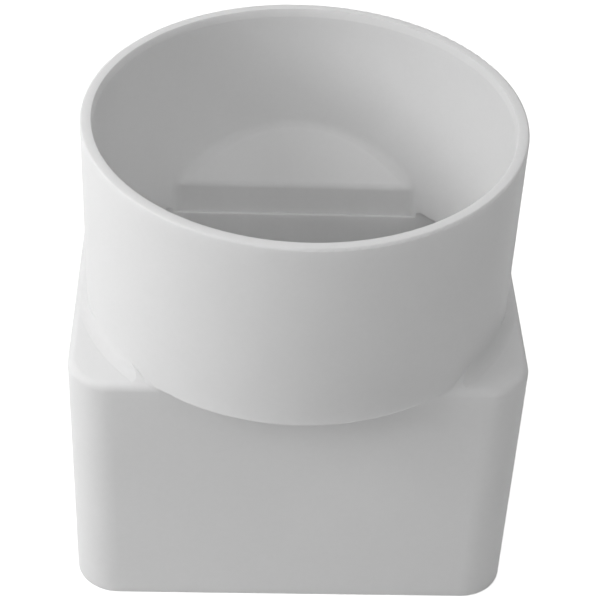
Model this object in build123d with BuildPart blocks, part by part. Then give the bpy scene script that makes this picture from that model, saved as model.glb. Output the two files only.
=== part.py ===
"""Downspout drain adapter, moulded in one piece from white PVC.

The rectangular socket takes a downspout, and the round hub on top of it takes a drain pipe.
Millimetres, +Z up. The origin is the centre of the rectangular mouth, on the axis of the hub.
"""

import os
from math import atan, degrees, radians, tan

from build123d import *

# Round hub, bored for sewer-and-drain pipe of 4.215 in outside diameter
pipe_diameter = 107.06
pipe_clearance = 0.17
hub_wall = 3.3
hub_height = 54.3
hub_edge_round = 0.7
rim_round = 0.6
lead_in_width = 0.5
lead_in_height = 2.2

# Rectangular socket for a nominal 3 by 4 in downspout, inside sizes at its closed end
socket_length = 112.2
socket_width = 80.0
socket_corner = 8.3
socket_wall = 3.7
socket_draft = 0.4
mouth_lead_in = 0.8
mouth_break = 0.5

# Shelf that closes the corners of the socket outside the hub, and stops the downspout there
shelf_height = 76.7
shelf_thickness = 3.6
shelf_edge_round = 2.0
ceiling_break = 1.0

# Flare of the hub on the shelf of each corner, run out before the edges of the shelf
flare_radius = 3.7
flare_sink = 0.1
flare_margin = 1.5
flare_run_out = 6.0

# Throat between the socket and the hub, a little wider than the socket at a small ledge
throat_step = 0.9
throat_below_shelf = 6.0
throat_draft = 0.5

# Lips of the hub that overhang the long walls, and the ramps inside that stop the pipe
lip_drop = 0.6
lip_root_round = 1.1
lip_thickness = 3.8
ramp_angle = 47.0
ramp_edge_share = 0.22
ramp_blend_share = 0.33

# Sizes that follow from those above
hub_bore_radius = pipe_diameter / 2 + pipe_clearance
hub_radius = hub_bore_radius + hub_wall
total_height = shelf_height + hub_height
lead_in_base = total_height - lead_in_height
outer_length = socket_length + 2 * socket_wall
outer_width = socket_width + 2 * socket_wall
outer_corner = socket_corner + socket_wall
ceiling_height = shelf_height - shelf_thickness
mouth_spread = ceiling_height * tan(radians(socket_draft))
flare_base = shelf_height - flare_sink
flare_lean = degrees(atan(flare_run_out / flare_radius))
lip_base = shelf_height - lip_drop
throat_base = shelf_height - throat_below_shelf
throat_half = socket_width / 2 + throat_step
ramp_base = shelf_height + lip_thickness
ramp_reach = hub_bore_radius - throat_half
ramp_top = ramp_base + ramp_reach * tan(radians(ramp_angle))
ramp_spread = (total_height - ramp_base) / tan(radians(ramp_angle))
ramp_edge_round = ramp_reach * ramp_edge_share
ramp_blend = ramp_reach * ramp_blend_share
bore_base = ramp_top + ramp_blend
throat_radius = hub_bore_radius - (bore_base - throat_base) * tan(radians(throat_draft))

# Edges this near to a height count as lying at it
level_gap = 0.01


# Flare around the foot of the hub, cut off by slopes that rise from near the edges of the shelf
with BuildPart() as hub_flare:
    with BuildSketch(Plane.XZ):
        with BuildLine():
            foot = (hub_radius + flare_radius, flare_base)
            top = (hub_radius, flare_base + flare_radius)
            CenterArc((foot[0], top[1]), flare_radius, 180, 90)
            Polyline(foot, (hub_bore_radius, foot[1]), (hub_bore_radius, top[1]), top)
        make_face()
    revolve(axis=Axis.Z)
    with BuildSketch(Plane.XY.offset(flare_base)):
        RectangleRounded(
            outer_length - 2 * flare_margin,
            outer_width - 2 * flare_margin,
            outer_corner - flare_margin,
        )
    extrude(amount=flare_radius, taper=flare_lean, mode=Mode.INTERSECT)

# Barrel of the hub, still solid, with its rounded rim and lower edge
with BuildPart() as hub_barrel:
    with BuildSketch(Plane.XY.offset(lip_base)):
        Circle(hub_radius)
    extrude(amount=total_height - lip_base)
    fillet(hub_barrel.edges().group_by(Axis.Z)[0], hub_edge_round)
    fillet(hub_barrel.edges().group_by(Axis.Z)[-1], rim_round)

# Hollow of the rectangular socket, with draft towards its mouth
with BuildPart() as socket_cavity:
    with BuildSketch(Plane.XY):
        RectangleRounded(
            socket_length + 2 * mouth_spread,
            socket_width + 2 * mouth_spread,
            socket_corner + mouth_spread,
        )
    extrude(amount=ceiling_height, taper=socket_draft)
    chamfer(socket_cavity.edges().group_by(Axis.Z)[-1], ceiling_break)

# Hollow of the hub: the throat with its ramps, trimmed by the bore and its lead-in
with BuildPart() as hub_cavity:
    with BuildSketch(Plane.YZ) as ramp_profile:
        with BuildLine():
            Polyline(
                (0, throat_base),
                (throat_half, throat_base),
                (throat_half, ramp_base),
                (throat_half + ramp_spread, total_height),
                (0, total_height),
            )
            mirror(about=Plane.YZ)
        make_face()
        fillet(ramp_profile.vertices().group_by(Axis.Y)[1], ramp_edge_round)
    extrude(amount=hub_radius, both=True)
    with BuildSketch(Plane.XZ):
        with BuildLine():
            Polyline(
                (0, throat_base),
                (throat_radius, throat_base),
                (hub_bore_radius, bore_base),
                (hub_bore_radius, lead_in_base),
                (hub_bore_radius + lead_in_width, total_height),
                (0, total_height),
                close=True,
            )
        make_face()
    revolve(axis=Axis.Z, mode=Mode.INTERSECT)
    fillet(hub_cavity.edges().filter_by(GeomType.ELLIPSE), ramp_blend)

# The moulded body
with BuildPart() as adapter_body:
    with BuildSketch(Plane.XY):
        RectangleRounded(outer_length, outer_width, outer_corner)
    extrude(amount=shelf_height)
    fillet(adapter_body.edges().group_by(Axis.Z)[-1], shelf_edge_round)
    chamfer(adapter_body.edges().group_by(Axis.Z)[0], mouth_break)
    add(hub_barrel.part)
    lip_level = adapter_body.edges().filter_by_position(Axis.Z, lip_base - level_gap, lip_base + level_gap)
    fillet(lip_level.filter_by(Axis.X), lip_root_round)
    add(hub_flare.part)
    add(socket_cavity.part, mode=Mode.SUBTRACT)
    add(hub_cavity.part, mode=Mode.SUBTRACT)
    mouth_rim = adapter_body.faces().sort_by(Axis.Z)[0]
    chamfer(mouth_rim.inner_wires()[0].edges(), mouth_lead_in)

os.makedirs("parts", exist_ok=True)
adapter_body.part.label = "adapter_body"
export_step(adapter_body.part, "parts/adapter_body.step")
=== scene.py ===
"""Looks of the downspout drain adapter: white moulded PVC on a plain pale floor.

Metres, +Z up, in the frame of the CAD part. The camera stands where the photo was taken from.
"""

from math import radians

import bpy
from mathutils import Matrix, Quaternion, Vector

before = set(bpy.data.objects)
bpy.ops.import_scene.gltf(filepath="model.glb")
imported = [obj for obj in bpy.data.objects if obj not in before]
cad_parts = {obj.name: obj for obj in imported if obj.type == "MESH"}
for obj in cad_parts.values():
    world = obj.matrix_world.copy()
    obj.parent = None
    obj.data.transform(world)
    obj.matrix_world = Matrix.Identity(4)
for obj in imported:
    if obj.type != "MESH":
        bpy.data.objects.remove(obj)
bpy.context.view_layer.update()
scene = bpy.context.scene
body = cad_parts["adapter_body"]

# Camera, at the viewpoint found by fitting the rim, the shelf and the base to the photo
camera_azimuth = -2.74
camera_elevation = 38.52
camera_roll = 2.82
camera_distance = 0.53883
aim_right = 0.00369
aim_up = 0.05537
frame_pixels = 600
focal_pixels = 1800.8
sensor_width = 36.0
near_limit = 0.01

# White of the PVC, and the pattern of its unevenness
darkest_white = (0.86, 0.86, 0.86, 1.0)
lightest_white = (0.89, 0.89, 0.89, 1.0)
cloud_scale = 26.0
cloud_share = 0.7
fleck_scale = 700.0
fleck_share = 0.3

# Sheen of the PVC, and how deep light goes into it
cloud_roughness = (0.46, 0.52)
streak_roughness = (-0.03, 0.05)
pvc_ior = 1.5
sheen_level = 0.12
scatter_share = 1.0
scatter_radius = (1.0, 1.0, 1.0)
scatter_depth = 0.002

# Marks of the mould: upright draw marks, and a fine orange peel
streak_stretch = (240.0, 240.0, 6.0)
streak_strength = 0.12
streak_height = 0.00005
peel_scale = 380.0
peel_strength = 0.25
peel_height = 0.00004

# Floor and surround
floor_size = 8.0
floor_white = 0.7
floor_grey = (0.85, 0.85, 0.85, 1.0)
surround_light = 0.1
surround_white = 1.0
white = (1.0, 1.0, 1.0, 1.0)

# Lamps: where they point, and the two kinds
lamp_target = Vector((0, 0, 0.08))
near_lamp = {"distance": 0.7, "size": 0.35}
wide_lamp = {"distance": 0.9, "size": 0.7}


def way_to(azimuth, elevation):
    """Direction from the object to a place at this azimuth and elevation in degrees, 0 being in front."""
    turn = Quaternion((0, 0, 1), radians(azimuth))
    tilt = Quaternion((1, 0, 0), radians(-elevation))
    return turn @ tilt @ Vector((0, -1, 0))


class Nodes:
    """A node tree that is filled by short calls."""

    def __init__(self, tree):
        self.tree = tree
        self.tree.nodes.clear()

    def add(self, kind, **inputs):
        """Adds a node and sets or joins the inputs named, with _ for each space in a name."""
        node = self.tree.nodes.new(kind)
        for name, value in inputs.items():
            self.join(value, node.inputs[name.replace("_", " ")])
        return node

    def join(self, value, socket):
        """Links a socket to another one, or sets a plain value on it."""
        if isinstance(value, bpy.types.NodeSocket):
            self.tree.links.new(value, socket)
        else:
            socket.default_value = value

    def noise(self, place, scale, detail):
        return self.add("ShaderNodeTexNoise", Vector=place, Scale=scale, Detail=detail).outputs["Fac"]

    def band(self, value, low, high):
        """Takes the middle of a noise value to the band from low to high."""
        node = self.add(
            "ShaderNodeMapRange", Value=value, From_Min=0.3, From_Max=0.7, To_Min=low, To_Max=high
        )
        return node.outputs["Result"]

    def work_out(self, operation, first, second):
        node = self.add("ShaderNodeMath")
        node.operation = operation
        self.join(first, node.inputs[0])
        self.join(second, node.inputs[1])
        return node.outputs["Value"]

    def shows(self):
        """1 for rays that show what is around the part, from the camera, mirrored or through glass."""
        rays = self.add("ShaderNodeLightPath").outputs
        direct = self.work_out("ADD", rays["Is Camera Ray"], rays["Is Glossy Ray"])
        return self.work_out("ADD", direct, rays["Is Transmission Ray"])


def lamp(name, azimuth, elevation, power, distance, size):
    """A round soft light that points at the middle of the part."""
    data = bpy.data.lights.new(name, "AREA")
    data.shape = "DISK"
    data.size = size
    data.energy = power
    thing = bpy.data.objects.new(name, data)
    scene.collection.objects.link(thing)
    way = way_to(azimuth, elevation)
    thing.location = lamp_target + way * distance
    thing.rotation_mode = "QUATERNION"
    thing.rotation_quaternion = way.to_track_quat("Z", "Y")


# Camera
lens = bpy.data.cameras.new("photo_camera")
lens.sensor_width = sensor_width
lens.lens = sensor_width * focal_pixels / frame_pixels
lens.clip_start = near_limit
camera = bpy.data.objects.new("photo_camera", lens)
scene.collection.objects.link(camera)
upright = way_to(camera_azimuth, camera_elevation).to_track_quat("Z", "Y")
stance = upright @ Quaternion((0, 0, 1), radians(camera_roll))
camera.rotation_mode = "QUATERNION"
camera.rotation_quaternion = stance
camera.location = stance @ Vector((aim_right, aim_up, camera_distance))
scene.camera = camera

# White PVC: a slightly uneven white, satin, with the fine orange peel and draw marks of a mould
pvc_material = bpy.data.materials.new("white_pvc")
pvc_material.use_nodes = True
pvc = Nodes(pvc_material.node_tree)
place = pvc.add("ShaderNodeTexCoord").outputs["Object"]
cloud = pvc.noise(place, cloud_scale, 3.0)
fleck = pvc.noise(place, fleck_scale, 2.0)
peel = pvc.noise(place, peel_scale, 2.0)
drawn = pvc.add("ShaderNodeMapping", Vector=place, Scale=streak_stretch).outputs["Vector"]
streak = pvc.noise(drawn, 1.0, 3.0)
uneven = pvc.work_out("ADD", pvc.band(cloud, 0.0, cloud_share), pvc.band(fleck, 0.0, fleck_share))
tint = pvc.add("ShaderNodeValToRGB", Fac=uneven)
tint.color_ramp.elements[0].color = darkest_white
tint.color_ramp.elements[1].color = lightest_white
roughness = pvc.work_out("ADD", pvc.band(cloud, *cloud_roughness), pvc.band(streak, *streak_roughness))
marks = pvc.add("ShaderNodeBump", Height=streak, Strength=streak_strength, Distance=streak_height)
grain = pvc.add(
    "ShaderNodeBump",
    Height=peel,
    Strength=peel_strength,
    Distance=peel_height,
    Normal=marks.outputs["Normal"],
)
skin = pvc.add(
    "ShaderNodeBsdfPrincipled",
    Base_Color=tint.outputs["Color"],
    Roughness=roughness,
    Normal=grain.outputs["Normal"],
    IOR=pvc_ior,
    Specular_IOR_Level=sheen_level,
    Subsurface_Weight=scatter_share,
    Subsurface_Radius=scatter_radius,
    Subsurface_Scale=scatter_depth,
)
pvc.add("ShaderNodeOutputMaterial", Surface=skin.outputs["BSDF"])
body.data.materials.clear()
body.data.materials.append(pvc_material)

# Floor: pale and matt, shown white to the camera and in reflections, with the shadow of the part on it
bpy.ops.mesh.primitive_plane_add(size=floor_size)
floor = bpy.context.object
floor.name = "floor"
floor_material = bpy.data.materials.new("floor")
floor_material.use_nodes = True
ground = Nodes(floor_material.node_tree)
shown = ground.work_out("MULTIPLY", ground.shows(), floor_white)
glow = ground.add("ShaderNodeEmission", Color=white, Strength=shown)
matt = ground.add("ShaderNodeBsdfDiffuse", Color=floor_grey)
both = ground.add("ShaderNodeAddShader")
ground.join(glow.outputs["Emission"], both.inputs[0])
ground.join(matt.outputs["BSDF"], both.inputs[1])
ground.add("ShaderNodeOutputMaterial", Surface=both.outputs["Shader"])
floor.data.materials.append(floor_material)

# World: a white surround to the eye, and an even low light on the part
world = bpy.data.worlds.new("studio")
world.use_nodes = True
scene.world = world
studio = Nodes(world.node_tree)
level = studio.add(
    "ShaderNodeMapRange", Value=studio.shows(), To_Min=surround_light, To_Max=surround_white
)
surround = studio.add("ShaderNodeBackground", Color=white, Strength=level.outputs["Result"])
studio.add("ShaderNodeOutputWorld", Surface=surround.outputs["Background"])

# Soft light: most of it from the left, some from the front, and wide lamps on the right and behind
lamp("left", -90.0, 35.0, 1.25, **near_lamp)
lamp("front_left", -65.0, 28.0, 1.5, **near_lamp)
lamp("front", -30.0, 50.0, 0.4, **near_lamp)
lamp("front_right", 45.0, 48.0, 1.5, **wide_lamp)
lamp("back_right", 165.0, 30.0, 1.0, **wide_lamp)
lamp("back_left", -165.0, 30.0, 1.0, **wide_lamp)

scene.view_settings.view_transform = "Standard"
